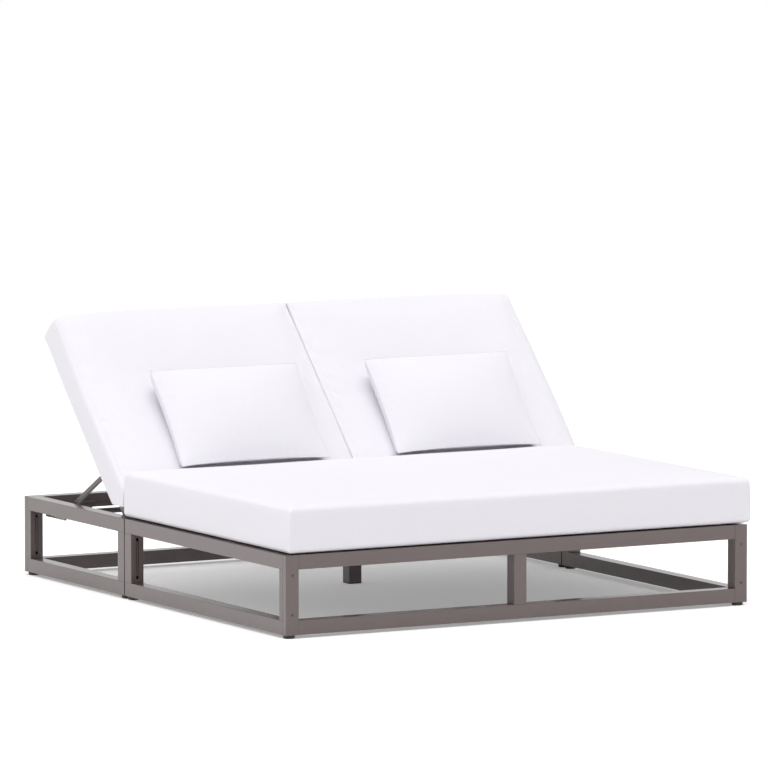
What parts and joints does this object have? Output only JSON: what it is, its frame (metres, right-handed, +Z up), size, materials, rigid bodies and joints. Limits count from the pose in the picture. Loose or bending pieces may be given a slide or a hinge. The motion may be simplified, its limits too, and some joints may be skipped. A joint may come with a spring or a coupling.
{
  "type": "double chaise lounger",
  "caption": "Wide two-person outdoor lounger on a low box frame of square tube, with one seat mattress, two separately reclining backs on notched props, and two lumbar pillows.",
  "frame": {"origin": "on the floor, under the middle of the lounger's width and length at rest, cushions included", "axes": "+X to the right seen from the foot end, +Y from the foot end to the head end, +Z up"},
  "size_m": [1.9, 2.01, 0.9696],
  "materials": {
    "powder_coat": "matte",
    "steel": "satin",
    "black_plastic": "matte",
    "white_fabric": "woven"
  },
  "bodies": {
    "frame": {"back_rests": "powder_coat", "centre_leg": "powder_coat", "foot_bottom_rail": "powder_coat", "foot_centre_post": "powder_coat", "foot_corner_posts": "powder_coat", "foot_top_rail": "powder_coat", "frame_bolts": "steel", "glide_pads": "black_plastic", "head_bottom_rail": "powder_coat", "head_centre_post": "powder_coat", "head_corner_posts": "powder_coat", "head_side_bottom_rail_left": "powder_coat", "head_side_bottom_rail_right": "powder_coat", "head_side_front_post_left": "powder_coat", "head_side_front_post_right": "powder_coat", "head_side_rear_post_left": "powder_coat", "head_side_rear_post_right": "powder_coat", "head_side_top_rail_left": "powder_coat", "head_side_top_rail_right": "powder_coat", "head_spine": "powder_coat", "head_top_rail": "powder_coat", "hinge_lugs": "powder_coat", "hinge_rail": "powder_coat", "left_prop_racks": "powder_coat", "right_prop_racks": "powder_coat", "seat_cross_rail": "powder_coat", "seat_mattress": "white_fabric", "seat_side_bottom_rail_left": "powder_coat", "seat_side_bottom_rail_right": "powder_coat", "seat_side_front_post_left": "powder_coat", "seat_side_front_post_right": "powder_coat", "seat_side_rear_post_left": "powder_coat", "seat_side_rear_post_right": "powder_coat", "seat_side_top_rail_left": "powder_coat", "seat_side_top_rail_right": "powder_coat", "seat_slats": "powder_coat", "seat_spine": "powder_coat"},
    "left_back": {"left_back_cushion": "white_fabric", "left_back_inner_tube": "powder_coat", "left_back_lower_tube": "powder_coat", "left_back_outer_tube": "powder_coat", "left_back_slats": "powder_coat", "left_back_upper_tube": "powder_coat", "left_hinge_pins": "steel", "left_prop_bolts": "steel"},
    "right_back": {"right_back_cushion": "white_fabric", "right_back_inner_tube": "powder_coat", "right_back_lower_tube": "powder_coat", "right_back_outer_tube": "powder_coat", "right_back_slats": "powder_coat", "right_back_upper_tube": "powder_coat", "right_hinge_pins": "steel", "right_prop_bolts": "steel"},
    "left_prop": {"left_prop_arms": "powder_coat", "left_prop_bar": "powder_coat"},
    "right_prop": {"right_prop_arms": "powder_coat", "right_prop_bar": "powder_coat"},
    "left_pillow": {"left_lumbar_pillow": "white_fabric"},
    "right_pillow": {"right_lumbar_pillow": "white_fabric"}
  },
  "joints": [
    {"name": "left_back_recline", "type": "hinge", "parent": "frame", "child": "left_back", "pos_m": [0, 0.301, 0.2755], "axis": [-1, 0, 0], "range_deg": [0, 45.7]},
    {"name": "left_prop_swing", "type": "hinge", "parent": "left_back", "child": "left_prop", "pos_m": [0, 0.47715, 0.42022], "axis": [1, 0, 0], "range_deg": [0, 72.95]},
    {"name": "left_pillow_slide", "type": "slide", "parent": "left_back", "child": "left_pillow", "axis": [0, 0.6984, 0.7157], "range_m": [0, 0.25]},
    {"name": "right_back_recline", "type": "hinge", "parent": "frame", "child": "right_back", "pos_m": [0, 0.301, 0.2755], "axis": [-1, 0, 0], "range_deg": [0, 45.7]},
    {"name": "right_prop_swing", "type": "hinge", "parent": "right_back", "child": "right_prop", "pos_m": [0, 0.47715, 0.42022], "axis": [1, 0, 0], "range_deg": [0, 72.95]},
    {"name": "right_pillow_slide", "type": "slide", "parent": "right_back", "child": "right_pillow", "axis": [0, 0.6984, 0.7157], "range_m": [0, 0.25]}
  ],
  "couplings": [
    {"joint": "left_prop_swing", "follows": "left_back_recline", "ratio": 1.5954},
    {"joint": "right_prop_swing", "follows": "right_back_recline", "ratio": 1.5954}
  ]
}
